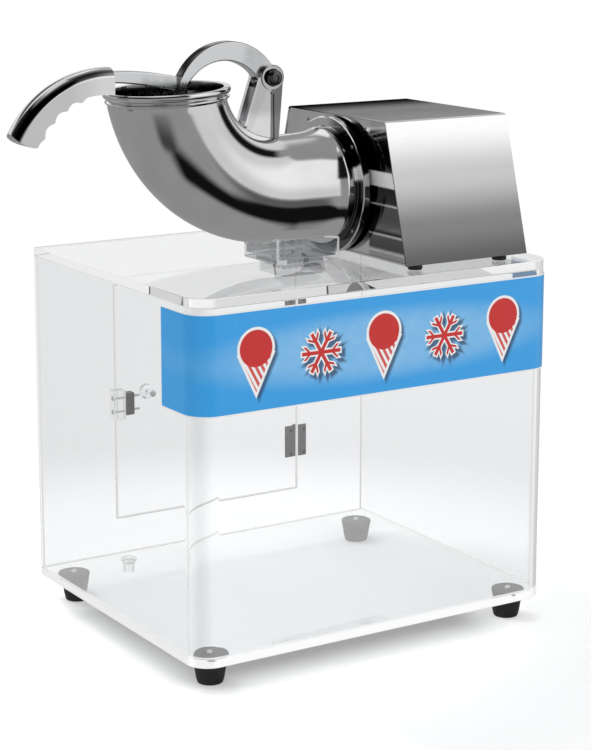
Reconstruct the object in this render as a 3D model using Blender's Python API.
# Electric snow cone machine: an ice shaver with a hand press, standing on a clear cabinet.
# Lengths are in metres and +Z is up. The customer's side faces -Y and the door is at +Y.
# Everything is laid out from the middle of the cabinet and the floor, and each object is
# then moved by the same amount, so that the middle of the whole machine is over the origin.

import math

import bmesh
import bpy
from mathutils import Matrix, Vector

# Fits and facets
GAP = 0.0003
ROUND = 32
MEDIUM_ROUND = 24
BOLT_ROUND = 16
SMALL_ROUND = 12
CORNER_STEPS = 6
SHARP_ANGLE = 32.0
OVERCUT = 0.006
AXIS_SIZE = 0.03

# Clear cabinet
CABINET_WIDTH = 0.432
CABINET_DEPTH = 0.356
CABINET_HEIGHT = 0.371
BASE_THICKNESS = 0.0095
LID_THICKNESS = 0.0095
WALL = 0.006
CORNER_RADIUS = 0.025

# Cabinet feet
FOOT_HEIGHT = 0.025
FOOT_TOP_RADIUS = 0.0175
FOOT_BOTTOM_RADIUS = 0.0135
FOOT_INSET = 0.030
FOOT_EDGE = 0.002
FOOT_TOP_EDGE = 0.001
FOOT_SOCKET_RADIUS = 0.0065
FOOT_SOCKET_DEPTH = 0.009
FOOT_SCREW_RADIUS = 0.0024
FOOT_SCREW_BITE = 0.006
FOOT_SCREW_HEAD_RADIUS = 0.005
FOOT_SCREW_HEAD = 0.0035

# Printed banner round the front
BANNER_HEIGHT = 0.102
BANNER_DROP = 0.015
BANNER_RETURN = 0.0675
BANNER_THICKNESS = 0.0008

# Drain fitting in the base
DRAIN_FROM_LEFT = 0.0965
DRAIN_FROM_BACK = 0.034
DRAIN_BORE_RADIUS = 0.0048
DRAIN_WALL = 0.002
DRAIN_FLANGE = 0.0022
DRAIN_FLANGE_THICKNESS = 0.0025
DRAIN_LENGTH_BELOW = 0.010
DRAIN_TAPER = 0.0008

# Door in the back
DOOR_WIDTH = 0.234
DOOR_HEIGHT = 0.268
DOOR_SILL = 0.0515
DOOR_CLEARANCE = 0.0012

# Door hinges
HINGE_HEIGHT = 0.038
HINGE_FROM_END = 0.0565
LEAF_WIDTH = 0.0145
LEAF_THICKNESS = 0.0012
KNUCKLES = 3
KNUCKLE_RADIUS = 0.003
KNUCKLE_STEPS = 14
HINGE_PIN_RADIUS = 0.0012
HINGE_PLAY = 0.0005

# Door catch and knob
BLOCK_HEIGHT = 0.034
BLOCK_DEPTH = 0.012
BLOCK_ON_PANEL = 0.009
BLOCK_ON_DOOR = 0.005
CATCH_WIDTH = 0.011
CATCH_HEIGHT = 0.025
CATCH_DEPTH = 0.0095
STRIKE_THICKNESS = 0.0012
CATCH_SCREW_RADIUS = 0.0013
CATCH_SCREW_HEAD_RADIUS = 0.0026
CATCH_SCREW_HEAD = 0.0016
CATCH_SCREW_PROUD = 0.0085
CATCH_SCREW_SPACING = 0.0155
KNOB_FROM_EDGE = 0.0455
KNOB_ABOVE_MIDDLE = 0.005
KNOB_RADIUS = 0.0085
KNOB_NECK_RADIUS = 0.005
KNOB_LENGTH = 0.015
KNOB_NECK_LENGTH = 0.005
KNOB_FLARE = 0.0025
KNOB_EDGE = 0.002
KNOB_FACE_RADIUS = 0.005
KNOB_SCREW_RADIUS = 0.0016
KNOB_SCREW_HEAD_RADIUS = 0.0036
KNOB_SCREW_HEAD = 0.0022
KNOB_SCREW_BITE = 0.009

# Where the shaver stands on the lid
SHAVER_FORWARD = 0.027
HOUSING_FROM_RIGHT = 0.021

# Motor housing
HOUSING_LENGTH = 0.155
HOUSING_HEIGHT = 0.144
HOUSING_BOTTOM_DEPTH = 0.266
HOUSING_TOP_DEPTH = 0.185
HOUSING_LIFT = 0.0055
HOUSING_BEND = 0.004
HOUSING_BEND_STEPS = 3
STEEL_SHEET = 0.0015
FLOOR_SHEET = 0.002
END_RECESS = 0.001
PAD_RADIUS = 0.008
PAD_EDGE_RADIUS = 0.0072
PAD_FROM_FRONT = 0.009
PAD_FROM_LEFT = 0.017
PAD_FROM_RIGHT = 0.030

# Flange, bearing and seal
FLANGE_RADIUS = 0.072
FLANGE_THICKNESS = 0.0085
FLANGE_EDGE = 0.001
FLANGE_CLEARANCE = 0.003
FLANGE_STANDOFF = 0.003
SHOULDER_LENGTH = 0.0035
SPIGOT_LENGTH = 0.008
HUB_RADIUS = 0.026
HUB_LENGTH = 0.012
BEARING_RADIUS = 0.016
BEARING_WIDTH = 0.011
SEAL_WIDTH = 0.006
HUB_PLAY = 0.0005

# Motor, shaft and cutter
SHAFT_RADIUS = 0.008
SHAFT_SEAT_RADIUS = 0.007
SHAFT_THREAD_RADIUS = 0.005
SHAFT_COLLAR_RADIUS = 0.011
SHAFT_COLLAR_WIDTH = 0.003
MOTOR_RADIUS = 0.052
MOTOR_LENGTH = 0.084
MOTOR_FROM_HOUSING = 0.030
STATOR_BORE_RADIUS = 0.034
ROTOR_RADIUS = 0.032
ROTOR_MARGIN = 0.010
BELL_THICKNESS = 0.008
BELL_LIP = 0.004
MOUNT_LENGTH = 0.056
MOUNT_WIDTH = 0.070
MOUNT_DROP = 0.026
CUTTER_CLEARANCE = 0.0016
CUTTER_THICKNESS = 0.006
CUTTER_SETBACK = 0.002
BLADE_INNER = 0.013
BLADE_INSET = 0.0035
BLADE_WIDTH = 0.013
BLADE_THICKNESS = 0.002
BLADE_OVERHANG = 0.0015
SLOT_WIDTH = 0.006
NUT_RADIUS = 0.0095
NUT_THICKNESS = 0.008
NUT_CHAMFER = 0.0013

# Elbow hopper
TUBE_RADIUS = 0.0556
RING_RADIUS = 0.0615
RING_WIDTH = 0.007
CONE_LENGTH = 0.0555
CONE_CURVE = 1.3
CONE_STEPS = 4
BEND_RADIUS = 0.1163
HOPPER_WALL = 0.0035
MOUTH_RADIUS = 0.0603
MOUTH_REACH = 0.1247
MOUTH_TILT = 3.2
NECK_LENGTH = 0.0162
NECK_RISE = 0.002
BEND_STEPS = 14
BEND_SWELL = 1.7
LIP_WIDTH = 0.0042
LIP_SHOULDER = 0.0035
LIP_FACE = 0.0017
LIP_FLARE = 0.0014
LIP_HEIGHT = 0.0066
BEAD_WIDTH = 0.0024
BEAD_HEIGHT = 0.0038
RIM_GROOVE = 0.0022
GROOVE_FLOOR = 0.0006
RIM_EDGE = 0.00055
WINDOW_RISE = 0.003

# Chute between the hopper and the cabinet
CHUTE_OFFSET = 0.0235
COLLAR_WIDTH = 0.077
COLLAR_DEPTH = 0.075
COLLAR_SADDLE = 0.0076
COLLAR_WALL = 0.004
COLLAR_CORNER = 0.007
SPOUT_SHRINK = 0.011
SPOUT_BELOW_LID = 0.0125
LEDGE_THICKNESS = 0.005
SPOUT_PLAY = 0.0006

# Lever pivot and bracket
PIVOT_LEFT = 0.0075
PIVOT_UP = 0.001
PIVOT_BOLT_RADIUS = 0.004
PIVOT_HEAD_RADIUS = 0.0084
PIVOT_HEAD = 0.005
PIVOT_NUT = 0.006
BOSS_RADIUS = 0.013
BOSS_RAISE = 0.0015
BOSS_STEPS = 14
BOSS_ROUND = 28
LEG_THICKNESS = 0.0045
LEG_SPREAD_LEFT = 0.0400
LEG_SPREAD_RIGHT = 0.0065
LEG_REACH = 0.076
LEG_POCKET = 0.0012
LEG_RIB = 0.004
POCKET_SPREAD = 0.0248
POCKET_REACH = 0.0646
BRIDGE_WIDTH = 0.022
BRIDGE_DROP = 0.0505
BRIDGE_FOOT = 0.006

# Press lever, measured from its pivot
LEVER_THICKNESS = 0.014
LEVER_PLAY = 0.0005
ARCH_OUTER = 0.063
ARCH_OUTER_LEFT = 0.0478
ARCH_OUTER_BELOW = 0.0247
ARCH_OUTER_END = 152.0
ARCH_INNER = 0.0502
ARCH_INNER_LEFT = 0.054
ARCH_INNER_BELOW = 0.0314
ARCH_STEPS = 20
ARM_ABOVE_RIM = 0.0115
ARM_HEIGHT = 0.0114
ARM_DIP = 0.0022
ARM_STEPS = 6
TANG_LENGTH = 0.024
TANG_SHOULDER = 0.0017
TANG_ROOT = 0.006
NECK_WIDTH = 0.016
NECK_INSET = 0.007
NECK_TOP_ANGLE = 184.0
NECK_ANGLE = 226.0
NECK_CURVE = 1.5
NECK_STEPS = 8
LEVER_CHAMFER = 0.0012
LEVER_SHARP_ANGLE = 60.0

# Grip on the lever, measured from the point of the hopper's rim that it rests on
CROWN_LEFT = 0.0062
CROWN_BELOW = 0.0897
CROWN_RADIUS = 0.1172
CROWN_START = 87.0
CROWN_END = 150.5
PALM_LEFT = 0.0160
PALM_BELOW = 0.0672
PALM_RADIUS = 0.0680
PALM_SHOULDER = 0.0013
PALM_SHOULDER_CURVE = 8
PALM_SWELL = 0.0032
PALM_START = 76.6
PALM_END = 162.0
GRIP_WIDTH = 0.026
GRIP_CORNER = 0.00325
GRIP_CORNER_STEPS = 2
GRIP_CROWN_STEPS = 8
GRIP_RIDGE = 0.0036
GRIP_RIDGE_ANGLE = 108.0
GRIP_RIDGE_PITCH = 15.3
GRIP_STEPS = 44
GRIP_CAP_LENGTH = 0.0044
GRIP_CAP_RINGS = ((0.94, 0.6), (0.80, 1.0))

# Pusher on the lever
PUSHER_CLEARANCE = 0.008
PUSHER_INSET = 0.0043
PUSHER_THICKNESS = 0.008
PUSHER_EDGE = 0.002
PUSHER_SCREW_RADIUS = 0.0024
PUSHER_SCREW_HEAD_RADIUS = 0.005
PUSHER_SCREW_HEAD = 0.0035
PUSHER_SCREW_BITE = 0.012

# Switch and cord gland on the operator's side
SWITCH_WIDTH = 0.022
SWITCH_HEIGHT = 0.032
SWITCH_DEPTH = 0.016
SWITCH_FLANGE = 0.003
SWITCH_FLANGE_THICKNESS = 0.002
SWITCH_WALL = 0.0035
SWITCH_PLAY = 0.00035
SWITCH_UP = 0.072
ROCKER_TILT = 8.0
ROCKER_PIVOT_DEPTH = 0.004
ROCKER_PLAY = 0.0006
ROCKER_RISE = 0.0045
ROCKER_DIP = 0.0016
ROCKER_STEPS = 12
GLAND_RADIUS = 0.007
GLAND_FLANGE_RADIUS = 0.010
GLAND_FLANGE_THICKNESS = 0.00325
GLAND_SHOULDER = 0.0043
GLAND_TIP_RADIUS = 0.0056
GLAND_BORE = 0.0036
GLAND_LENGTH = 0.013
GLAND_INSIDE = 0.006
GLAND_BACK = 0.070
GLAND_UP = 0.036

# Colours: base colour, metallic, roughness
FINISHES = {
    "clear_acrylic": ((0.93, 0.95, 0.96), 0.0, 0.05),
    "polished_steel": ((0.72, 0.72, 0.73), 1.0, 0.12),
    "cast_aluminium": ((0.74, 0.75, 0.76), 1.0, 0.28),
    "zinc_steel": ((0.52, 0.52, 0.52), 1.0, 0.35),
    "cutter_steel": ((0.66, 0.66, 0.67), 1.0, 0.22),
    "black_rubber": ((0.02, 0.02, 0.02), 0.0, 0.65),
    "black_plastic": ((0.03, 0.03, 0.032), 0.0, 0.4),
    "blue_print": ((0.06, 0.33, 0.70), 0.0, 0.3),
    "motor_enamel": ((0.10, 0.11, 0.12), 0.3, 0.45),
}

# Heights and faces of the cabinet
side = CABINET_WIDTH / 2
front = -CABINET_DEPTH / 2
back = CABINET_DEPTH / 2
base_low = FOOT_HEIGHT
base_top = base_low + BASE_THICKNESS
lid_top = base_low + CABINET_HEIGHT
lid_low = lid_top - LID_THICKNESS
panel_inside = back - WALL

# Door
door_low = base_low + DOOR_SILL
door_top = door_low + DOOR_HEIGHT
door_middle = (door_low + door_top) / 2
door_left = -DOOR_WIDTH / 2
door_right = DOOR_WIDTH / 2
hinge_x = door_right + DOOR_CLEARANCE / 2
hinge_y = back + GAP + KNUCKLE_RADIUS
pin_bore = HINGE_PIN_RADIUS + GAP

# Shaver, from the housing towards the hopper's mouth
axis_y = -SHAVER_FORWARD
axis_z = lid_top + FLANGE_RADIUS + FLANGE_CLEARANCE
housing_right = side - HOUSING_FROM_RIGHT
housing_left = housing_right - HOUSING_LENGTH
housing_low = lid_top + HOUSING_LIFT
end_plate_left = housing_left + END_RECESS
flange_right = housing_left - FLANGE_STANDOFF
flange_left = flange_right - FLANGE_THICKNESS
ring_right = flange_left - SHOULDER_LENGTH
ring_left = ring_right - RING_WIDTH
bend_x = ring_left - CONE_LENGTH
bend_z = axis_z + BEND_RADIUS
ring_bore = RING_RADIUS - HOPPER_WALL
tube_bore = TUBE_RADIUS - HOPPER_WALL
spigot_left = ring_right - SPIGOT_LENGTH
hub_right = end_plate_left + STEEL_SHEET + HUB_LENGTH

# Motor and cutter along the shaft
motor_left = housing_left + MOTOR_FROM_HOUSING
motor_right = motor_left + MOTOR_LENGTH
cutter_radius = tube_bore - CUTTER_CLEARANCE
cutter_right = bend_x - CUTTER_SETBACK
cutter_left = cutter_right - CUTTER_THICKNESS
seal_left = spigot_left + 2 * GAP
bearing_right = hub_right - 2 * GAP

# Chute
chute_x = bend_x + CHUTE_OFFSET
spout_half_x = COLLAR_WIDTH / 2 - SPOUT_SHRINK
spout_half_y = COLLAR_DEPTH / 2 - SPOUT_SHRINK
spout_low = lid_low - SPOUT_BELOW_LID
collar_top = axis_z - TUBE_RADIUS + COLLAR_SADDLE

# Lever
pivot = Vector((bend_x - PIVOT_LEFT, axis_y, bend_z + PIVOT_UP))
slot_half = LEVER_THICKNESS / 2 + LEVER_PLAY
leg_outside = slot_half + LEG_THICKNESS
boss_outside = leg_outside + BOSS_RAISE
pusher_reach = BEND_RADIUS - PUSHER_INSET
pusher_radius = tube_bore - PUSHER_CLEARANCE
neck_outer = pusher_reach - NECK_INSET + NECK_WIDTH / 2
neck_inner = neck_outer - NECK_WIDTH
arch_outer_centre = (-ARCH_OUTER_LEFT, -ARCH_OUTER_BELOW)
arch_inner_centre = (-ARCH_INNER_LEFT, -ARCH_INNER_BELOW)
crown_centre = (-CROWN_LEFT, -CROWN_BELOW)
palm_centre = (-PALM_LEFT, -PALM_BELOW)


def polar(radius, degrees):
    angle = math.radians(degrees)
    return (radius * math.cos(angle), radius * math.sin(angle))


def arc(centre, radius, start, end, steps):
    points = []
    for step in range(steps + 1):
        x, y = polar(radius, start + (end - start) * step / steps)
        points.append((centre[0] + x, centre[1] + y))
    return points


def mouth_frame():
    # The mouth's centre, the direction across it to the left and the direction out of it
    across = Vector(polar(1, 180 + MOUTH_TILT))
    upward = Vector((across.y, -across.x))
    centre = Vector((bend_x, bend_z)) + MOUTH_REACH * across + NECK_RISE * upward
    return centre, across, upward


def rim_rest():
    # The leftmost point on top of the rim, from the pivot: the grip rests on it
    centre, across, _ = mouth_frame()
    point = centre + (MOUTH_RADIUS + LIP_WIDTH) * across
    return Vector((point.x - pivot.x, point.y - pivot.z + GAP))


rest = rim_rest()
arm_low = rest.y + ARM_ABOVE_RIM
arm_top = arm_low + ARM_HEIGHT

# The middle of the whole machine: the grip's end, the banner and the door knob are its limits
left_limit = pivot.x + rest.x - CROWN_LEFT + polar(CROWN_RADIUS, CROWN_END)[0]
right_limit = side + GAP + BANNER_THICKNESS
front_limit = front - GAP - BANNER_THICKNESS
back_limit = back + GAP + KNOB_LENGTH
MIDDLE = Vector(((left_limit + right_limit) / 2, (front_limit + back_limit) / 2, 0))


def clear_scene():
    for old in list(bpy.data.objects):
        bpy.data.objects.remove(old, do_unlink=True)


def make_finishes():
    finishes = {}
    for name, (colour, metallic, roughness) in FINISHES.items():
        material = bpy.data.materials.new(name)
        material.use_nodes = True
        shader = material.node_tree.nodes["Principled BSDF"]
        shader.inputs["Base Color"].default_value = (*colour, 1)
        shader.inputs["Metallic"].default_value = metallic
        shader.inputs["Roughness"].default_value = roughness
        finishes[name] = material
    return finishes


# Mesh helpers: each one returns a closed bmesh in the layout's coordinates

def closed(bm):
    bmesh.ops.recalc_face_normals(bm, faces=bm.faces)
    return bm


def bridge(bm, lower, upper):
    count = max(len(lower), len(upper))
    for index in range(count):
        following = (index + 1) % count
        if len(lower) == 1:
            bm.faces.new((lower[0], upper[following], upper[index]))
        elif len(upper) == 1:
            bm.faces.new((lower[index], lower[following], upper[0]))
        else:
            bm.faces.new((lower[index], lower[following], upper[following], upper[index]))


def loft(rings, tube=False):
    # Rings of points joined in order; a tube joins the last ring to the first, else both are capped
    bm = bmesh.new()
    loops = [[bm.verts.new(point) for point in ring] for ring in rings]
    for lower, upper in zip(loops, loops[1:]):
        bridge(bm, lower, upper)
    if tube:
        bridge(bm, loops[-1], loops[0])
    else:
        for loop in (loops[0], loops[-1]):
            if len(loop) > 1:
                bm.faces.new(loop)
    return closed(bm)


def turned(profile, centre, axis, segments=ROUND):
    # A profile of (radius, place along the axis); one that never meets the axis closes on itself
    turn = Vector((0, 0, 1)).rotation_difference(Vector(axis)).to_matrix()
    rings = []
    for radius, along in profile:
        count = segments if radius > 0 else 1
        points = []
        for index in range(count):
            x, y = polar(radius, 360 * index / segments)
            points.append(turn @ Vector((x, y, along)) + Vector(centre))
        rings.append(points)
    meets_axis = len(rings[0]) == 1 or len(rings[-1]) == 1
    return loft(rings, tube=not meets_axis)


def rod(radius, start, end, centre, axis, segments=ROUND):
    return turned([(0, start), (radius, start), (radius, end), (0, end)], centre, axis, segments)


def hexagon(radius, thickness, centre, axis):
    # A nut before its thread is cut, with its outer corners turned off
    profile = [
        (0, 0),
        (radius, 0),
        (radius, thickness - NUT_CHAMFER),
        (radius - NUT_CHAMFER, thickness),
        (0, thickness),
    ]
    return turned(profile, centre, axis, 6)


def prism(outline, low, high, plane="XY"):
    # An outline pushed out along the axis that its plane leaves free
    def place(a, b, depth):
        if plane == "XY":
            return Vector((a, b, depth))
        if plane == "XZ":
            return Vector((a, depth, b))
        return Vector((depth, a, b))
    return loft([[place(a, b, depth) for a, b in outline] for depth in (low, high)])


def block(low, high):
    outline = [(low[0], low[1]), (high[0], low[1]), (high[0], high[1]), (low[0], high[1])]
    return prism(outline, low[2], high[2])


def merged(*parts):
    # Meshes that lie apart, taken as one tool
    whole = bmesh.new()
    for part in parts:
        scratch = bpy.data.meshes.new("scratch")
        part.to_mesh(scratch)
        part.free()
        whole.from_mesh(scratch)
        bpy.data.meshes.remove(scratch)
    return whole


def rounded_rectangle(half_x, half_y, radius, centre, z):
    corners = ((1, 1, 0), (-1, 1, 90), (-1, -1, 180), (1, -1, 270))
    points = []
    for sign_x, sign_y, start in corners:
        middle = (centre[0] + sign_x * (half_x - radius), centre[1] + sign_y * (half_y - radius))
        points += [Vector((x, y, z)) for x, y in arc(middle, radius, start, start + 90, CORNER_STEPS)]
    return points


# Object helpers

def add_object(name, bm, material=None, parent=None, origin=None):
    # The object's origin is its parent's, or the given point; its mesh is moved to match
    place = Vector(origin) if origin is not None else Vector((0, 0, 0))
    if parent is not None:
        place = Vector(parent["layout_place"])
    bmesh.ops.translate(bm, verts=bm.verts, vec=-place)
    mesh = bpy.data.meshes.new(name)
    bm.to_mesh(mesh)
    bm.free()
    obj = bpy.data.objects.new(name, mesh)
    bpy.context.scene.collection.objects.link(obj)
    if material is not None:
        mesh.materials.append(material)
        mesh.shade_smooth()
        mesh.set_sharp_from_angle(angle=math.radians(SHARP_ANGLE))
    if parent is not None:
        obj.parent = parent
    else:
        obj.location = place - MIDDLE
    return obj


def add_axis(name, place):
    empty = bpy.data.objects.new(name, None)
    empty.empty_display_size = AXIS_SIZE
    empty.location = Vector(place) - MIDDLE
    empty["layout_place"] = tuple(place)
    bpy.context.scene.collection.objects.link(empty)
    return empty


def use_tool(target, operation, name, bm):
    tool = add_object(name, bm)
    tool.hide_render = True
    tool.display_type = "WIRE"
    modifier = target.modifiers.new(name, "BOOLEAN")
    modifier.operation = operation
    modifier.solver = "EXACT"
    modifier.object = tool


def cut(target, name, *tools):
    use_tool(target, "DIFFERENCE", "cut_" + name, merged(*tools))


def join(target, name, bm):
    use_tool(target, "UNION", "join_" + name, bm)


# Cabinet

def bent_path(grow, end_y):
    # The outside line of the bent front and sides, moved outwards by grow, from left to right
    half = side + grow
    face = front - grow
    radius = CORNER_RADIUS + grow
    path = [(-half, end_y)]
    path += arc((-half + radius, face + radius), radius, 180, 270, CORNER_STEPS)
    path += arc((half - radius, face + radius), radius, 270, 360, CORNER_STEPS)
    path.append((half, end_y))
    return path


def foot_places():
    places = {}
    for row, y in (("front", front + FOOT_INSET), ("back", back - FOOT_INSET)):
        for hand, x in (("left", -side + FOOT_INSET), ("right", side - FOOT_INSET)):
            places[f"{row}_{hand}"] = (x, y)
    return places


def drain_place():
    return (-side + DRAIN_FROM_LEFT, back - DRAIN_FROM_BACK)


def build_base(finishes):
    base = add_object("base_plate", prism(bent_path(0, back), base_low, base_top), finishes["clear_acrylic"])
    holes = []
    bore = FOOT_SCREW_RADIUS + GAP
    depth = FOOT_SCREW_BITE + 2 * GAP
    for x, y in foot_places().values():
        holes.append(rod(bore, -OVERCUT, depth, (x, y, base_low), (0, 0, 1), SMALL_ROUND))
    x, y = drain_place()
    bore = DRAIN_BORE_RADIUS + DRAIN_WALL + GAP
    holes.append(rod(bore, -OVERCUT, BASE_THICKNESS + OVERCUT, (x, y, base_low), (0, 0, 1)))
    cut(base, "base_holes", *holes)


def build_drain(finishes):
    outer = DRAIN_BORE_RADIUS + DRAIN_WALL
    low = base_low - DRAIN_LENGTH_BELOW
    high = base_top + GAP + DRAIN_FLANGE_THICKNESS
    profile = [
        (outer, base_top + GAP),
        (outer, base_low),
        (outer - DRAIN_TAPER, low),
        (DRAIN_BORE_RADIUS - DRAIN_TAPER, low),
        (DRAIN_BORE_RADIUS, base_low),
        (DRAIN_BORE_RADIUS, high),
        (outer + DRAIN_FLANGE, high),
        (outer + DRAIN_FLANGE, base_top + GAP),
    ]
    x, y = drain_place()
    add_object("drain_spout", turned(profile, (x, y, 0), (0, 0, 1)), finishes["clear_acrylic"])


def build_feet(finishes):
    top = base_low - GAP
    socket = FOOT_SOCKET_DEPTH
    bore = FOOT_SCREW_RADIUS + GAP
    profile = [
        (bore, top),
        (bore, socket),
        (FOOT_SOCKET_RADIUS, socket),
        (FOOT_SOCKET_RADIUS, 0),
        (FOOT_BOTTOM_RADIUS - FOOT_EDGE, 0),
        (FOOT_BOTTOM_RADIUS, FOOT_EDGE),
        (FOOT_TOP_RADIUS, top - FOOT_TOP_EDGE),
        (FOOT_TOP_RADIUS, top),
    ]
    head_top = socket - GAP
    screw = [
        (0, head_top - FOOT_SCREW_HEAD),
        (FOOT_SCREW_HEAD_RADIUS, head_top - FOOT_SCREW_HEAD),
        (FOOT_SCREW_HEAD_RADIUS, head_top),
        (FOOT_SCREW_RADIUS, head_top),
        (FOOT_SCREW_RADIUS, base_low + FOOT_SCREW_BITE),
        (0, base_low + FOOT_SCREW_BITE),
    ]
    for name, (x, y) in foot_places().items():
        foot = turned(profile, (x, y, 0), (0, 0, 1), MEDIUM_ROUND)
        add_object(f"foot_{name}", foot, finishes["black_rubber"])
        fixing = turned(screw, (x, y, 0), (0, 0, 1), SMALL_ROUND)
        add_object(f"foot_screw_{name}", fixing, finishes["zinc_steel"])


def build_walls(finishes):
    low = base_top + GAP
    high = lid_low - GAP
    wrap = bent_path(0, back) + bent_path(-WALL, back)[::-1]
    add_object("wrap_panel", prism(wrap, low, high), finishes["clear_acrylic"])

    edge = side - WALL - GAP
    panel = block((-edge, panel_inside, low), (edge, back, high))
    panel = add_object("back_panel", panel, finishes["clear_acrylic"])
    opening_low = (door_left - DOOR_CLEARANCE, panel_inside - OVERCUT, door_low - DOOR_CLEARANCE)
    opening_high = (door_right + DOOR_CLEARANCE, back + OVERCUT, door_top + DOOR_CLEARANCE)
    cut(panel, "doorway", block(opening_low, opening_high))

    high = lid_top - BANNER_DROP
    end_y = front + BANNER_RETURN
    skin = bent_path(GAP + BANNER_THICKNESS, end_y) + bent_path(GAP, end_y)[::-1]
    add_object("banner", prism(skin, high - BANNER_HEIGHT, high), finishes["blue_print"])


def build_lid(finishes):
    lid = add_object("lid_plate", prism(bent_path(0, back), lid_low, lid_top), finishes["clear_acrylic"])
    hole = [
        rounded_rectangle(
            spout_half_x + SPOUT_PLAY, spout_half_y + SPOUT_PLAY,
            COLLAR_CORNER + SPOUT_PLAY, (chute_x, axis_y), z)
        for z in (lid_low - OVERCUT, lid_top + OVERCUT)
    ]
    cut(lid, "spout_hole", loft(hole))


def build_chute(finishes):
    def ring(half_x, half_y, corner, z):
        return rounded_rectangle(half_x, half_y, corner, (chute_x, axis_y), z)

    half_x = COLLAR_WIDTH / 2
    half_y = COLLAR_DEPTH / 2
    seat = lid_top + GAP
    inner_corner = COLLAR_CORNER - COLLAR_WALL
    ledge = seat + LEDGE_THICKNESS
    rings = [
        ring(half_x, half_y, COLLAR_CORNER, collar_top),
        ring(half_x, half_y, COLLAR_CORNER, seat),
        ring(spout_half_x, spout_half_y, COLLAR_CORNER, seat),
        ring(spout_half_x, spout_half_y, COLLAR_CORNER, spout_low),
        ring(spout_half_x - COLLAR_WALL, spout_half_y - COLLAR_WALL, inner_corner, spout_low),
        ring(spout_half_x - COLLAR_WALL, spout_half_y - COLLAR_WALL, inner_corner, ledge),
        ring(half_x - COLLAR_WALL, half_y - COLLAR_WALL, inner_corner, ledge),
        ring(half_x - COLLAR_WALL, half_y - COLLAR_WALL, inner_corner, collar_top),
    ]
    chute = add_object("ice_chute", loft(rings, tube=True), finishes["clear_acrylic"])
    cut(chute, "hopper_saddle", hopper_skin(GAP))


# Door

def build_door(finishes):
    axis = add_axis("door_axis", (hinge_x, hinge_y, door_middle))
    low = (door_left, panel_inside, door_low)
    door = add_object("door", block(low, (door_right, back, door_top)), finishes["clear_acrylic"], axis)
    knob_x = door_left + KNOB_FROM_EDGE
    knob_z = door_middle + KNOB_ABOVE_MIDDLE
    bore = KNOB_SCREW_RADIUS + GAP
    place = (knob_x, panel_inside, knob_z)
    cut(door, "knob_hole", rod(bore, -OVERCUT, WALL + OVERCUT, place, (0, 1, 0), SMALL_ROUND))

    seat = back + GAP
    bore_end = seat + KNOB_SCREW_BITE + GAP
    knob = [
        (0, bore_end),
        (bore, bore_end),
        (bore, seat),
        (KNOB_NECK_RADIUS, seat),
        (KNOB_NECK_RADIUS, seat + KNOB_NECK_LENGTH),
        (KNOB_RADIUS, seat + KNOB_NECK_LENGTH + KNOB_FLARE),
        (KNOB_RADIUS, seat + KNOB_LENGTH - KNOB_EDGE),
        (KNOB_FACE_RADIUS, seat + KNOB_LENGTH),
        (0, seat + KNOB_LENGTH),
    ]
    knob = turned(knob, (knob_x, 0, knob_z), (0, 1, 0), MEDIUM_ROUND)
    add_object("door_knob", knob, finishes["clear_acrylic"], axis)
    head = panel_inside - GAP
    screw = [
        (0, head - KNOB_SCREW_HEAD),
        (KNOB_SCREW_HEAD_RADIUS, head - KNOB_SCREW_HEAD / 2),
        (KNOB_SCREW_HEAD_RADIUS, head),
        (KNOB_SCREW_RADIUS, head),
        (KNOB_SCREW_RADIUS, seat + KNOB_SCREW_BITE),
        (0, seat + KNOB_SCREW_BITE),
    ]
    screw = turned(screw, (knob_x, 0, knob_z), (0, 1, 0), SMALL_ROUND)
    add_object("knob_screw", screw, finishes["zinc_steel"], axis)
    build_hinges(finishes, axis)
    build_catch(finishes, axis)


def leaf_outline(hand):
    # A flat leaf that ends in a round knuckle about the pin
    rise = KNUCKLE_RADIUS - LEAF_THICKNESS
    start = -math.degrees(math.asin(rise / KNUCKLE_RADIUS))
    points = [(LEAF_WIDTH, -KNUCKLE_RADIUS), (LEAF_WIDTH, -rise)]
    points += arc((0, 0), KNUCKLE_RADIUS, start, 270, KNUCKLE_STEPS)
    return [(hinge_x + hand * x, hinge_y + y) for x, y in points]


def build_hinges(finishes, axis):
    knuckle = HINGE_HEIGHT / KNUCKLES
    for name, z in (("lower", door_low + HINGE_FROM_END), ("upper", door_top - HINGE_FROM_END)):
        low = z - HINGE_HEIGHT / 2
        high = z + HINGE_HEIGHT / 2
        first = low + knuckle
        second = high - knuckle
        play = HINGE_PLAY / 2
        for leaf, hand, parent, spans in (
                ("panel", 1, None, ((low, first - play), (second + play, high))),
                ("door", -1, axis, ((first + play, second - play),))):
            inner = hinge_x + hand * (KNUCKLE_RADIUS + HINGE_PLAY)
            outer = hinge_x + hand * LEAF_WIDTH
            flat_low = (min(inner, outer), hinge_y - KNUCKLE_RADIUS, low)
            flat_high = (max(inner, outer), hinge_y - KNUCKLE_RADIUS + LEAF_THICKNESS, high)
            plate = block(flat_low, flat_high)
            plate = add_object(f"hinge_{leaf}_leaf_{name}", plate, finishes["zinc_steel"], parent)
            knuckles = [prism(leaf_outline(hand), start, end) for start, end in spans]
            join(plate, f"{leaf}_knuckles_{name}", merged(*knuckles))
            bore = rod(pin_bore, low - play, high + play, (hinge_x, hinge_y, 0), (0, 0, 1), SMALL_ROUND)
            cut(plate, f"{leaf}_pin_bore_{name}", bore)
        pin = rod(HINGE_PIN_RADIUS, low, high, (hinge_x, hinge_y, 0), (0, 0, 1), SMALL_ROUND)
        add_object(f"hinge_pin_{name}", pin, finishes["zinc_steel"])


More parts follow.
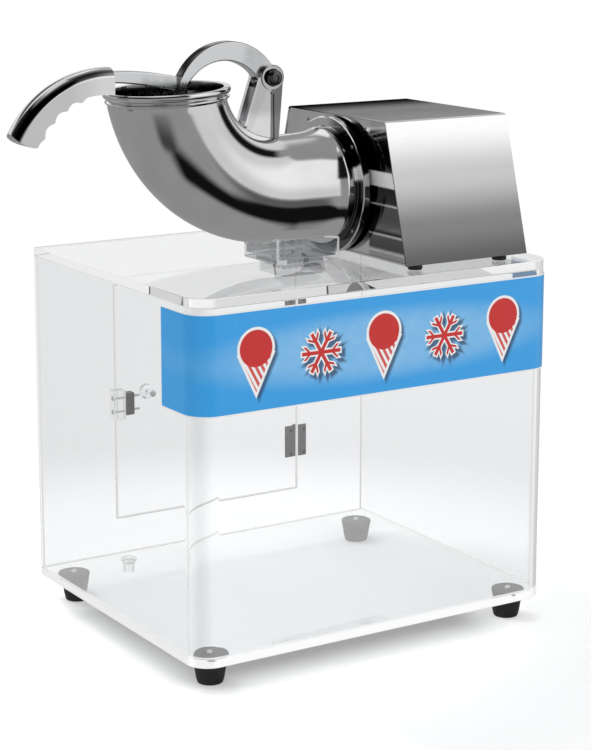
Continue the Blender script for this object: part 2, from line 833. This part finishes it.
def build_catch(finishes, axis):
    inside = panel_inside - GAP
    block_left = door_left - BLOCK_ON_PANEL
    block_right = door_left + BLOCK_ON_DOOR
    low = door_middle - BLOCK_HEIGHT / 2
    high = door_middle + BLOCK_HEIGHT / 2
    stop = block((block_left, inside - BLOCK_DEPTH, low), (block_right, inside, high))
    stop = add_object("door_stop_block", stop, finishes["clear_acrylic"])

    left = block_right + GAP
    right = left + CATCH_WIDTH
    low = door_middle - CATCH_HEIGHT / 2
    high = door_middle + CATCH_HEIGHT / 2
    face = inside - STRIKE_THICKNESS - GAP
    body = block((left, face - CATCH_DEPTH, low), (right, face, high))
    body = add_object("magnet_catch", body, finishes["black_plastic"])
    strike = block((left, inside - STRIKE_THICKNESS, low), (right, inside, high))
    add_object("strike_plate", strike, finishes["zinc_steel"], axis)

    y = face - CATCH_DEPTH / 2
    bore = CATCH_SCREW_RADIUS + GAP
    head_end = block_left + CATCH_SCREW_HEAD + 2 * GAP
    block_bores = []
    body_bores = []
    for name, hand in (("lower", -1), ("upper", 1)):
        z = door_middle + hand * CATCH_SCREW_SPACING / 2
        centre = (0, y, z)
        stepped = [
            (0, block_left - OVERCUT),
            (CATCH_SCREW_HEAD_RADIUS + GAP, block_left - OVERCUT),
            (CATCH_SCREW_HEAD_RADIUS + GAP, head_end),
            (bore, head_end),
            (bore, right + OVERCUT),
            (0, right + OVERCUT),
        ]
        block_bores.append(turned(stepped, centre, (1, 0, 0), SMALL_ROUND))
        body_bores.append(rod(bore, left - OVERCUT, right + OVERCUT, centre, (1, 0, 0), SMALL_ROUND))
        screw = [
            (0, block_left),
            (CATCH_SCREW_HEAD_RADIUS, block_left),
            (CATCH_SCREW_HEAD_RADIUS, block_left + CATCH_SCREW_HEAD),
            (CATCH_SCREW_RADIUS, block_left + CATCH_SCREW_HEAD),
            (CATCH_SCREW_RADIUS, right + CATCH_SCREW_PROUD),
            (0, right + CATCH_SCREW_PROUD),
        ]
        screw = turned(screw, centre, (1, 0, 0), SMALL_ROUND)
        add_object(f"catch_screw_{name}", screw, finishes["zinc_steel"])
    cut(stop, "block_bores", *block_bores)
    cut(body, "catch_bores", *body_bores)


# Elbow hopper: circles strung between the line inside the bend and the line outside it

def rim_profile():
    # Height below the mouth and how far the metal stands out there, from the neck's foot upwards
    bead_top = LIP_HEIGHT + RIM_GROOVE
    bead_low = bead_top + BEAD_HEIGHT
    return [
        (NECK_LENGTH, 0),
        (bead_low + RIM_EDGE, 0),
        (bead_low - RIM_EDGE, BEAD_WIDTH),
        (bead_top + RIM_EDGE, BEAD_WIDTH),
        (bead_top - RIM_EDGE, GROOVE_FLOOR),
        (LIP_HEIGHT + RIM_EDGE, GROOVE_FLOOR),
        (LIP_HEIGHT - RIM_EDGE, LIP_SHOULDER),
        (LIP_HEIGHT - 3 * RIM_EDGE, LIP_WIDTH),
        (3 * RIM_EDGE, LIP_WIDTH),
        (RIM_EDGE, LIP_SHOULDER),
        (0, LIP_FACE),
    ]


def hopper_lines(rim):
    # Pairs of points in the XZ plane: inside and outside of the bend, from the ring to the mouth
    bend = Vector((bend_x, bend_z))
    lines = []
    for x in (ring_right, ring_left):
        lines.append((Vector((x, axis_z + RING_RADIUS)), Vector((x, axis_z - RING_RADIUS)), 0))
    for step in range(1, CONE_STEPS + 1):
        share = step / CONE_STEPS
        radius = TUBE_RADIUS + (RING_RADIUS - TUBE_RADIUS) * (1 - share) ** CONE_CURVE
        x = ring_left - CONE_LENGTH * share
        lines.append((Vector((x, axis_z + radius)), Vector((x, axis_z - radius)), 0))

    centre, across, upward = mouth_frame()
    foot = centre - NECK_LENGTH * upward
    ends = []
    for start_radius, point in (
            (BEND_RADIUS - TUBE_RADIUS, foot - MOUTH_RADIUS * across),
            (BEND_RADIUS + TUBE_RADIUS, foot + MOUTH_RADIUS * across)):
        offset = point - bend
        end_angle = math.degrees(math.atan2(offset.y, offset.x)) % 360
        ends.append((start_radius, offset.length, end_angle))
    for step in range(1, BEND_STEPS):
        share = step / BEND_STEPS
        pair = []
        for start_radius, end_radius, end_angle in ends:
            radius = start_radius + (end_radius - start_radius) * share ** BEND_SWELL
            pair.append(bend + Vector(polar(radius, 270 + (end_angle - 270) * share)))
        lines.append((pair[0], pair[1], 0))
    for below, proud in rim:
        middle = centre - below * upward
        lines.append((middle - MOUTH_RADIUS * across, middle + MOUTH_RADIUS * across, proud))
    return lines


def hopper_rings(grow, rim):
    rings = []
    for inside, outside, proud in hopper_lines(rim):
        middle = (inside + outside) / 2
        reach = (outside - inside).length / 2 + grow + proud
        across = (outside - inside).normalized()
        ring = []
        for index in range(ROUND):
            y, along = polar(reach, 360 * index / ROUND)
            ring.append(Vector((middle.x + along * across.x, axis_y + y, middle.y + along * across.y)))
        rings.append(ring)
    return rings


def hopper_skin(grow):
    # The hopper's outside as a solid, grown by a clearance, to cut what seats on it
    return loft(hopper_rings(grow, [(NECK_LENGTH, 0), (0, 0)]))


def build_hopper(finishes):
    outside = hopper_rings(0, rim_profile())
    inside = hopper_rings(-HOPPER_WALL, [(NECK_LENGTH, 0), (LIP_HEIGHT, 0), (0, LIP_FLARE)])
    hopper = add_object("elbow_hopper", loft(outside + inside[::-1], tube=True), finishes["polished_steel"])
    half_x = spout_half_x - COLLAR_WALL
    half_y = spout_half_y - COLLAR_WALL
    inner_low = axis_z - math.sqrt(tube_bore ** 2 - half_y ** 2)
    window = block(
        (chute_x - half_x, axis_y - half_y, axis_z - RING_RADIUS - OVERCUT),
        (chute_x + half_x, axis_y + half_y, inner_low + WINDOW_RISE))
    cut(hopper, "ice_window", window)


def build_flange(finishes):
    spigot = ring_bore - GAP
    bore = BEARING_RADIUS + GAP
    centre = (0, axis_y, axis_z)
    profile = [
        (bore, spigot_left),
        (spigot, spigot_left),
        (spigot, ring_right + GAP),
        (RING_RADIUS, ring_right + GAP),
        (RING_RADIUS, flange_left),
        (FLANGE_RADIUS - FLANGE_EDGE, flange_left),
        (FLANGE_RADIUS, flange_left + FLANGE_EDGE),
        (FLANGE_RADIUS, flange_right),
        (HUB_RADIUS, flange_right),
        (HUB_RADIUS, hub_right),
        (bore, hub_right),
    ]
    add_object("main_flange", turned(profile, centre, (1, 0, 0)), finishes["polished_steel"])

    shaft_bore = SHAFT_RADIUS + GAP
    for name, start, width, finish in (
            ("shaft_seal", seal_left, SEAL_WIDTH, "black_rubber"),
            ("shaft_bearing", bearing_right - BEARING_WIDTH, BEARING_WIDTH, "cutter_steel")):
        ring = [
            (shaft_bore, start),
            (BEARING_RADIUS, start),
            (BEARING_RADIUS, start + width),
            (shaft_bore, start + width),
        ]
        add_object(name, turned(ring, centre, (1, 0, 0), MEDIUM_ROUND), finishes[finish])


# Shaft, cutter and motor

def build_rotor(finishes):
    centre = (0, axis_y, axis_z)
    axis = add_axis("cutter_axis", (cutter_left, axis_y, axis_z))
    bore = SHAFT_SEAT_RADIUS + GAP
    disc = [
        (bore, cutter_left),
        (cutter_radius, cutter_left),
        (cutter_radius, cutter_right),
        (bore, cutter_right),
    ]
    disc = add_object("cutter_disc", turned(disc, centre, (1, 0, 0)), finishes["cutter_steel"], axis)
    blade_left = cutter_left - GAP - BLADE_THICKNESS
    slots = []
    blade_outer = cutter_radius - BLADE_INSET
    for name, hand in (("front", -1), ("back", 1)):
        ys = sorted(axis_y + hand * reach for reach in (BLADE_INNER, blade_outer))
        zs = sorted(axis_z + hand * reach for reach in (-SLOT_WIDTH / 2, SLOT_WIDTH / 2))
        slots.append(block((cutter_left - OVERCUT, ys[0], zs[0]), (cutter_right + OVERCUT, ys[1], zs[1])))
        edge = axis_z + hand * BLADE_OVERHANG
        heel = edge + hand * BLADE_WIDTH
        bevel = edge + hand * BLADE_THICKNESS
        outline = [
            (blade_left, edge),
            (blade_left, heel),
            (blade_left + BLADE_THICKNESS, heel),
            (blade_left + BLADE_THICKNESS, bevel),
        ]
        blade = prism(outline, ys[0], ys[1], "XZ")
        add_object(f"cutter_blade_{name}", blade, finishes["cutter_steel"], axis)
    cut(disc, "blade_slots", *slots)

    seat = (cutter_left - GAP, axis_y, axis_z)
    nut = hexagon(NUT_RADIUS, NUT_THICKNESS, seat, (-1, 0, 0))
    nut = add_object("cutter_nut", nut, finishes["cutter_steel"], axis)
    thread = rod(SHAFT_THREAD_RADIUS + GAP, -OVERCUT, NUT_THICKNESS + OVERCUT, seat, (-1, 0, 0), BOLT_ROUND)
    cut(nut, "nut_thread", thread)
    tip = cutter_left - NUT_THICKNESS - 2 * GAP
    collar = cutter_right + GAP
    core_left = motor_left + ROTOR_MARGIN
    core_right = motor_right - ROTOR_MARGIN
    tail = motor_right + GAP + BELL_THICKNESS
    shaft = [
        (0, tip),
        (SHAFT_THREAD_RADIUS, tip),
        (SHAFT_THREAD_RADIUS, cutter_left),
        (SHAFT_SEAT_RADIUS, cutter_left),
        (SHAFT_SEAT_RADIUS, collar),
        (SHAFT_COLLAR_RADIUS, collar),
        (SHAFT_COLLAR_RADIUS, collar + SHAFT_COLLAR_WIDTH),
        (SHAFT_RADIUS, collar + SHAFT_COLLAR_WIDTH),
        (SHAFT_RADIUS, core_left),
        (ROTOR_RADIUS, core_left),
        (ROTOR_RADIUS, core_right),
        (SHAFT_RADIUS, core_right),
        (SHAFT_RADIUS, tail),
        (0, tail),
    ]
    add_object("rotor_shaft", turned(shaft, centre, (1, 0, 0), MEDIUM_ROUND), finishes["cutter_steel"], axis)


def build_motor(finishes):
    centre = (0, axis_y, axis_z)
    can = [
        (STATOR_BORE_RADIUS, motor_left),
        (MOTOR_RADIUS, motor_left),
        (MOTOR_RADIUS, motor_right),
        (STATOR_BORE_RADIUS, motor_right),
    ]
    add_object("motor_can", turned(can, centre, (1, 0, 0)), finishes["motor_enamel"])
    bore = SHAFT_RADIUS + GAP
    for name, face, hand in (("front", motor_left - GAP, -1), ("rear", motor_right + GAP, 1)):
        far = face + hand * BELL_THICKNESS
        bell = [
            (bore, face),
            (MOTOR_RADIUS, face),
            (MOTOR_RADIUS - BELL_LIP, far),
            (bore, far),
        ]
        add_object(f"motor_{name}_bell", turned(bell, centre, (1, 0, 0)), finishes["cast_aluminium"])
    middle = (motor_left + motor_right) / 2
    floor = housing_low + FLOOR_SHEET + GAP
    cradle = block(
        (middle - MOUNT_LENGTH / 2, axis_y - MOUNT_WIDTH / 2, floor),
        (middle + MOUNT_LENGTH / 2, axis_y + MOUNT_WIDTH / 2, axis_z - MOUNT_DROP))
    cradle = add_object("motor_mount", cradle, finishes["motor_enamel"])
    cut(cradle, "motor_seat", rod(MOTOR_RADIUS + GAP, motor_left, motor_right, centre, (1, 0, 0)))


# Motor housing

def housing_slope():
    # Unit vector up the front of the housing, in the YZ plane
    lean = (HOUSING_BOTTOM_DEPTH - HOUSING_TOP_DEPTH) / 2
    return Vector((lean, HOUSING_HEIGHT)).normalized()


def housing_half(height, inset):
    # Half the housing's depth at a height, measured inside a skin of the given thickness
    slope = housing_slope()
    return HOUSING_BOTTOM_DEPTH / 2 - inset / slope.y - height * slope.x / slope.y


def housing_path(inset, low):
    slope = housing_slope()
    radius = HOUSING_BEND - inset
    centre_z = HOUSING_HEIGHT - HOUSING_BEND
    centre_y = housing_half(centre_z, HOUSING_BEND)
    normal_angle = math.degrees(math.atan2(slope.x, slope.y))
    path = [(-housing_half(low, inset), low)]
    path += arc((-centre_y, centre_z), radius, 180 - normal_angle, 90, HOUSING_BEND_STEPS)
    path += arc((centre_y, centre_z), radius, 90, normal_angle, HOUSING_BEND_STEPS)
    path.append((housing_half(low, inset), low))
    return [(axis_y + y, housing_low + z) for y, z in path]


def switch_frame():
    # Local X runs to the left, local Y up the sloping back and local Z out of it
    slope = housing_slope()
    up = Vector((0, -slope.x, slope.y))
    outward = Vector((0, slope.y, slope.x))
    place = Vector((
        (housing_left + housing_right) / 2,
        axis_y + housing_half(SWITCH_UP, 0),
        housing_low + SWITCH_UP))
    turn = Matrix((Vector((-1, 0, 0)), up, outward)).transposed()
    return Matrix.Translation(place) @ turn.to_4x4()


def build_housing(finishes):
    skin = housing_path(0, 0) + housing_path(STEEL_SHEET, 0)[::-1]
    cover = prism(skin, housing_left, housing_right, "YZ")
    cover = add_object("housing_cover", cover, finishes["polished_steel"])
    half_x = SWITCH_WIDTH / 2 + SWITCH_PLAY
    half_y = SWITCH_HEIGHT / 2 + SWITCH_PLAY
    hole = block((-half_x, -half_y, -OVERCUT), (half_x, half_y, OVERCUT))
    bmesh.ops.transform(hole, matrix=switch_frame(), verts=hole.verts)
    cut(cover, "switch_hole", hole)

    plate_low = FLOOR_SHEET + GAP
    outline = housing_path(STEEL_SHEET + GAP, plate_low)
    left = prism(outline, end_plate_left, end_plate_left + STEEL_SHEET, "YZ")
    left = add_object("housing_left_end", left, finishes["polished_steel"])
    centre = (end_plate_left, axis_y, axis_z)
    cut(left, "hub_hole", rod(HUB_RADIUS + HUB_PLAY, -OVERCUT, OVERCUT, centre, (1, 0, 0)))

    right_face = housing_right - END_RECESS
    right = prism(outline, right_face - STEEL_SHEET, right_face, "YZ")
    right = add_object("housing_right_end", right, finishes["polished_steel"])
    gland = (right_face, axis_y + GLAND_BACK, housing_low + GLAND_UP)
    cut(right, "gland_hole", rod(GLAND_RADIUS + GAP, -OVERCUT, OVERCUT, gland, (1, 0, 0), MEDIUM_ROUND))
    shape = [
        (GLAND_BORE, -STEEL_SHEET - GLAND_INSIDE),
        (GLAND_RADIUS, -STEEL_SHEET - GLAND_INSIDE),
        (GLAND_RADIUS, GAP),
        (GLAND_FLANGE_RADIUS, GAP),
        (GLAND_FLANGE_RADIUS, GAP + GLAND_FLANGE_THICKNESS),
        (GLAND_RADIUS, GAP + GLAND_SHOULDER),
        (GLAND_TIP_RADIUS, GAP + GLAND_LENGTH),
        (GLAND_BORE, GAP + GLAND_LENGTH),
    ]
    add_object("cord_gland", turned(shape, gland, (1, 0, 0), MEDIUM_ROUND), finishes["black_plastic"])

    half = housing_half(FLOOR_SHEET, STEEL_SHEET + GAP)
    floor = block(
        (end_plate_left, axis_y - half, housing_low),
        (right_face, axis_y + half, housing_low + FLOOR_SHEET))
    add_object("housing_floor", floor, finishes["polished_steel"])

    pad = [
        (0, lid_top + GAP),
        (PAD_EDGE_RADIUS, lid_top + GAP),
        (PAD_RADIUS, lid_top + HOUSING_LIFT / 2),
        (PAD_EDGE_RADIUS, housing_low - GAP),
        (0, housing_low - GAP),
    ]
    reach = HOUSING_BOTTOM_DEPTH / 2 - PAD_FROM_FRONT
    for row, y in (("front", axis_y - reach), ("back", axis_y + reach)):
        for hand, x in (("left", housing_left + PAD_FROM_LEFT), ("right", housing_right - PAD_FROM_RIGHT)):
            piece = turned(pad, (x, y, 0), (0, 0, 1), BOLT_ROUND)
            add_object(f"housing_pad_{row}_{hand}", piece, finishes["black_rubber"])


def build_switch(finishes):
    frame = switch_frame()
    half_x = SWITCH_WIDTH / 2
    half_y = SWITCH_HEIGHT / 2
    body = block((-half_x, -half_y, -SWITCH_DEPTH), (half_x, half_y, GAP + SWITCH_FLANGE_THICKNESS))
    bmesh.ops.transform(body, matrix=frame, verts=body.verts)
    body = add_object("switch_body", body, finishes["black_plastic"])
    wide_x = half_x + SWITCH_FLANGE
    wide_y = half_y + SWITCH_FLANGE
    flange = block((-wide_x, -wide_y, GAP), (wide_x, wide_y, GAP + SWITCH_FLANGE_THICKNESS))
    bmesh.ops.transform(flange, matrix=frame, verts=flange.verts)
    join(body, "switch_flange", flange)
    well_x = half_x - SWITCH_WALL
    well_y = half_y - SWITCH_WALL
    rocker_radius = well_y - ROCKER_PLAY
    well_low = -ROCKER_PIVOT_DEPTH - rocker_radius - ROCKER_PLAY
    well = block((-well_x, -well_y, well_low), (well_x, well_y, OVERCUT))
    bmesh.ops.transform(well, matrix=frame, verts=well.verts)
    cut(body, "rocker_well", well)

    # The rocker is round below its pivot, with a shallow V above, and rests with its lower half in
    place = frame @ Vector((0, 0, -ROCKER_PIVOT_DEPTH))
    axis = add_axis("rocker_axis", place)
    top = ROCKER_PIVOT_DEPTH + ROCKER_RISE - ROCKER_DIP
    edge_y = math.sqrt(rocker_radius ** 2 - top ** 2) - ROCKER_PLAY
    outline = arc((0, 0), rocker_radius, 180, 360, ROCKER_STEPS)
    outline += [(edge_y, top), (0, top - ROCKER_DIP), (-edge_y, top)]
    tilt = Matrix.Rotation(math.radians(ROCKER_TILT), 4, "X")
    local = frame @ Matrix.Translation((0, 0, -ROCKER_PIVOT_DEPTH)) @ tilt
    rocker = prism(outline, -well_x + ROCKER_PLAY, well_x - ROCKER_PLAY, "YZ")
    bmesh.ops.transform(rocker, matrix=local, verts=rocker.verts)
    add_object("switch_rocker", rocker, finishes["black_plastic"], axis)


# Press lever and its bracket

def from_pivot(points):
    return [(pivot.x + x, pivot.z + z) for x, z in points]


def leg_outline(inset):
    # An A-shaped leg: round at the pivot, spreading to two feet in the hopper's back
    feet = ((LEG_SPREAD_RIGHT, -LEG_REACH), (-LEG_SPREAD_LEFT, -LEG_REACH))
    radius = BOSS_RADIUS - inset
    points = []
    for (x, z), hand in zip(feet, (-1, 1)):
        distance = math.hypot(x, z)
        tangent = math.degrees(math.atan2(z, x)) - hand * math.degrees(math.acos(BOSS_RADIUS / distance))
        points.append((tangent, (x, z)))
    (right_tangent, right_foot), (left_tangent, left_foot) = points
    shift = Vector(polar(inset, right_tangent))
    outline = [(right_foot[0] - shift.x, right_foot[1] - shift.y)]
    outline += arc((0, 0), radius, right_tangent, left_tangent % 360, BOSS_STEPS)
    shift = Vector(polar(inset, left_tangent))
    outline.append((left_foot[0] - shift.x, left_foot[1] - shift.y))
    return from_pivot(outline)


def build_bracket(finishes):
    front_leg = prism(leg_outline(0), axis_y - leg_outside, axis_y - slot_half, "XZ")
    bracket = add_object("lever_bracket", front_leg, finishes["cast_aluminium"])
    join(bracket, "back_leg", prism(leg_outline(0), axis_y + slot_half, axis_y + leg_outside, "XZ"))
    overlap = LEG_THICKNESS / 2
    bridge_low = (pivot.x - BRIDGE_WIDTH, axis_y - slot_half - overlap, pivot.z - LEG_REACH + BRIDGE_FOOT)
    bridge_high = (pivot.x, axis_y + slot_half + overlap, pivot.z - BRIDGE_DROP)
    join(bracket, "leg_bridge", block(bridge_low, bridge_high))
    bosses = []
    for hand in (-1, 1):
        start, end = sorted((hand * (slot_half + overlap), hand * boss_outside))
        bosses.append(rod(BOSS_RADIUS, start, end, pivot, (0, 1, 0), BOSS_ROUND))
    join(bracket, "leg_bosses", merged(*bosses))

    pockets = []
    for hand in (-1, 1):
        start, end = sorted((hand * (leg_outside - LEG_POCKET), hand * (leg_outside + OVERCUT)))
        pocket = [
            (-LEG_RIB / 2, -BOSS_RADIUS - LEG_RIB),
            (-POCKET_SPREAD, -POCKET_REACH),
            (LEG_SPREAD_RIGHT - LEG_RIB, -POCKET_REACH),
            (LEG_RIB / 2, -BOSS_RADIUS - LEG_RIB),
        ]
        pockets.append(prism(from_pivot(pocket), axis_y + start, axis_y + end, "XZ"))
    cut(bracket, "leg_pockets", *pockets)
    cut(bracket, "hopper_seat", hopper_skin(GAP))
    reach = boss_outside + OVERCUT
    cut(bracket, "bolt_hole", rod(PIVOT_BOLT_RADIUS + GAP, -reach, reach, pivot, (0, 1, 0), BOLT_ROUND))

    face = boss_outside + GAP
    end = face + PIVOT_NUT
    bolt = [(0, -face - PIVOT_HEAD)]
    for angle in (60, 30, 0):
        reach, rise = polar(1, angle)
        bolt.append((PIVOT_HEAD_RADIUS * reach, -face - PIVOT_HEAD * rise))
    bolt += [
        (PIVOT_BOLT_RADIUS, -face),
        (PIVOT_BOLT_RADIUS, end),
        (0, end),
    ]
    add_object("pivot_bolt", turned(bolt, pivot, (0, 1, 0), BOLT_ROUND), finishes["zinc_steel"])
    seat = pivot + Vector((0, face, 0))
    nut = hexagon(PIVOT_HEAD_RADIUS, PIVOT_NUT, seat, (0, 1, 0))
    nut = add_object("pivot_nut", nut, finishes["zinc_steel"])
    thread = rod(PIVOT_BOLT_RADIUS + GAP, -OVERCUT, PIVOT_NUT + OVERCUT, seat, (0, 1, 0), BOLT_ROUND)
    cut(nut, "pivot_thread", thread)


def circle_crossing(centre, radius, distance):
    # Angle about the centre at which its circle is the given distance from the pivot, above it
    span = math.hypot(*centre)
    cosine = (span ** 2 + radius ** 2 - distance ** 2) / (2 * span * radius)
    towards_pivot = math.degrees(math.atan2(-centre[1], -centre[0]))
    return towards_pivot + math.degrees(math.acos(cosine))


def grip_point(share, crown):
    # Points along the crown and the palm side of the grip; the palm side has finger ridges
    if crown:
        centre = crown_centre
        radius = CROWN_RADIUS
        angle = CROWN_START + (CROWN_END - CROWN_START) * share
    else:
        centre = palm_centre
        angle = PALM_START + (PALM_END - PALM_START) * share
        ridge = 1 - abs(math.sin(math.radians(180 * (angle - GRIP_RIDGE_ANGLE) / GRIP_RIDGE_PITCH)))
        depth = GRIP_RIDGE * ridge if angle > GRIP_RIDGE_ANGLE - GRIP_RIDGE_PITCH / 2 else 0
        shoulder = PALM_SHOULDER * (1 - share) ** PALM_SHOULDER_CURVE
        radius = PALM_RADIUS + shoulder + PALM_SWELL * share ** 2 - depth
    return rest + Vector(centre) + Vector(polar(radius, angle))


def grip_end_face():
    return max(grip_point(0, True).x, grip_point(0, False).x)


def lever_outline():
    # Over the arch from the boss to the grip, then down the neck, back up it and under the arch
    grip_face = grip_end_face() + GAP
    start = circle_crossing(arch_outer_centre, ARCH_OUTER, BOSS_RADIUS)
    points = arc(arch_outer_centre, ARCH_OUTER, start, ARCH_OUTER_END, ARCH_STEPS)
    join_x, join_z = points[-1]
    for step in range(1, ARM_STEPS + 1):
        share = step / ARM_STEPS
        x = join_x + (grip_face - join_x) * share
        z = join_z + (arm_top - join_z) * share + ARM_DIP * math.sin(math.pi * share)
        points.append((x, z))
    neck_x, neck_z = polar(neck_outer, NECK_TOP_ANGLE)
    for step in range(ARM_STEPS):
        share = step / (ARM_STEPS - 1)
        x = grip_face + (neck_x - grip_face) * share
        z = arm_low + (neck_z - arm_low) * share ** NECK_CURVE
        points.append((x, z))
    points += arc((0, 0), neck_outer, NECK_TOP_ANGLE, NECK_ANGLE, NECK_STEPS)[1:]
    points += arc((0, 0), neck_inner, NECK_ANGLE, NECK_TOP_ANGLE, NECK_STEPS)
    start = circle_crossing(arch_inner_centre, ARCH_INNER, neck_inner)
    end = circle_crossing(arch_inner_centre, ARCH_INNER, BOSS_RADIUS)
    points += arc(arch_inner_centre, ARCH_INNER, start, end, ARCH_STEPS)
    (first_x, first_z), (last_x, last_z) = points[0], points[-1]
    last_angle = math.degrees(math.atan2(last_z, last_x)) % 360
    first_angle = math.degrees(math.atan2(first_z, first_x)) % 360
    points += arc((0, 0), BOSS_RADIUS, last_angle, first_angle + 360, BOSS_STEPS)[1:-1]
    return points


def build_lever(finishes):
    axis = add_axis("lever_axis", pivot)
    half = LEVER_THICKNESS / 2
    lever = prism(from_pivot(lever_outline()), axis_y - half, axis_y + half, "XZ")
    lever = add_object("press_lever", lever, finishes["cast_aluminium"], axis)
    bevel = lever.modifiers.new("soft_edges", "BEVEL")
    bevel.width = LEVER_CHAMFER
    bevel.segments = 1
    bevel.limit_method = "ANGLE"
    bevel.angle_limit = math.radians(LEVER_SHARP_ANGLE)
    tang_end = grip_end_face() + GAP - TANG_LENGTH
    tang_low = Vector((tang_end, -half, arm_low + TANG_SHOULDER)) + pivot
    tang_high = Vector((tang_end + TANG_LENGTH + TANG_ROOT, half, arm_top - TANG_SHOULDER)) + pivot
    join(lever, "tang", block(tang_low, tang_high))
    reach = half + OVERCUT
    cut(lever, "pivot_bore", rod(PIVOT_BOLT_RADIUS + GAP, -reach, reach, pivot, (0, 1, 0), BOLT_ROUND))

    screw_radius = (neck_inner + neck_outer) / 2
    x, z = polar(screw_radius, NECK_ANGLE)
    screw_place = pivot + Vector((x, 0, z))
    x, z = polar(1, NECK_ANGLE + 90)
    inward = (x, 0, z)
    depth = PUSHER_SCREW_BITE + 2 * GAP
    bore = rod(PUSHER_SCREW_RADIUS + GAP, -depth, OVERCUT, screw_place, inward, SMALL_ROUND)
    cut(lever, "pusher_screw_bore", bore)

    x, z = polar(pusher_reach, NECK_ANGLE)
    centre = pivot + Vector((x, 0, z))
    face = GAP + PUSHER_THICKNESS
    disc = [
        (0, GAP),
        (pusher_radius - PUSHER_EDGE, GAP),
        (pusher_radius, GAP + PUSHER_EDGE),
        (pusher_radius, face - PUSHER_EDGE),
        (pusher_radius - PUSHER_EDGE, face),
        (0, face),
    ]
    pusher = add_object("pusher_head", turned(disc, centre, inward), finishes["cast_aluminium"], axis)
    head_low = face - PUSHER_SCREW_HEAD
    seat = [
        (0, -OVERCUT),
        (PUSHER_SCREW_RADIUS + GAP, -OVERCUT),
        (PUSHER_SCREW_RADIUS + GAP, head_low - GAP),
        (PUSHER_SCREW_HEAD_RADIUS + GAP, head_low - GAP),
        (PUSHER_SCREW_HEAD_RADIUS + GAP, face + OVERCUT),
        (0, face + OVERCUT),
    ]
    cut(pusher, "screw_seat", turned(seat, screw_place, inward, SMALL_ROUND))
    screw = [
        (0, -PUSHER_SCREW_BITE),
        (PUSHER_SCREW_RADIUS, -PUSHER_SCREW_BITE),
        (PUSHER_SCREW_RADIUS, head_low),
        (PUSHER_SCREW_HEAD_RADIUS, head_low),
        (PUSHER_SCREW_HEAD_RADIUS, face),
        (0, face),
    ]
    screw = turned(screw, screw_place, inward, SMALL_ROUND)
    add_object("pusher_screw", screw, finishes["zinc_steel"], axis)
    build_grip(finishes, axis)


def build_grip(finishes, axis):
    half = GRIP_WIDTH / 2
    corner = GRIP_CORNER
    rings = []
    for step in range(GRIP_STEPS + 1):
        share = step / GRIP_STEPS
        low = grip_point(share, False)
        high = grip_point(share, True)
        height = (high - low).length
        up = (high - low).normalized()
        section = arc((-half + corner, corner), corner, 270, 180, GRIP_CORNER_STEPS)
        section += arc((0, height - half), half, 180, 0, GRIP_CROWN_STEPS)
        section += arc((half - corner, corner), corner, 0, -90, GRIP_CORNER_STEPS)
        ring = []
        for y, rise in section:
            point = low + up * rise
            ring.append(Vector((pivot.x + point.x, axis_y + y, pivot.z + point.y)))
        rings.append(ring)
    middle = sum(rings[-1], Vector()) / len(rings[-1])
    outward = (middle - sum(rings[-3], Vector()) / len(rings[-3])).normalized()
    for shrink, share in GRIP_CAP_RINGS:
        centre = middle + share * GRIP_CAP_LENGTH * outward
        rings.append([centre + shrink * (point - middle) for point in rings[GRIP_STEPS]])
    grip = add_object("lever_grip", loft(rings), finishes["polished_steel"], axis)
    face = grip_end_face()
    tang_low = pivot.z + arm_low + TANG_SHOULDER - GAP
    tang_top = pivot.z + arm_top - TANG_SHOULDER + GAP
    socket = block(
        (pivot.x + face - TANG_LENGTH - GAP, axis_y - LEVER_THICKNESS / 2 - GAP, tang_low),
        (pivot.x + face + OVERCUT, axis_y + LEVER_THICKNESS / 2 + GAP, tang_top))
    cut(grip, "tang_socket", socket)


def main():
    clear_scene()
    finishes = make_finishes()
    build_base(finishes)
    build_drain(finishes)
    build_feet(finishes)
    build_walls(finishes)
    build_lid(finishes)
    build_chute(finishes)
    build_door(finishes)
    build_hopper(finishes)
    build_flange(finishes)
    build_rotor(finishes)
    build_motor(finishes)
    build_housing(finishes)
    build_switch(finishes)
    build_bracket(finishes)
    build_lever(finishes)


main()
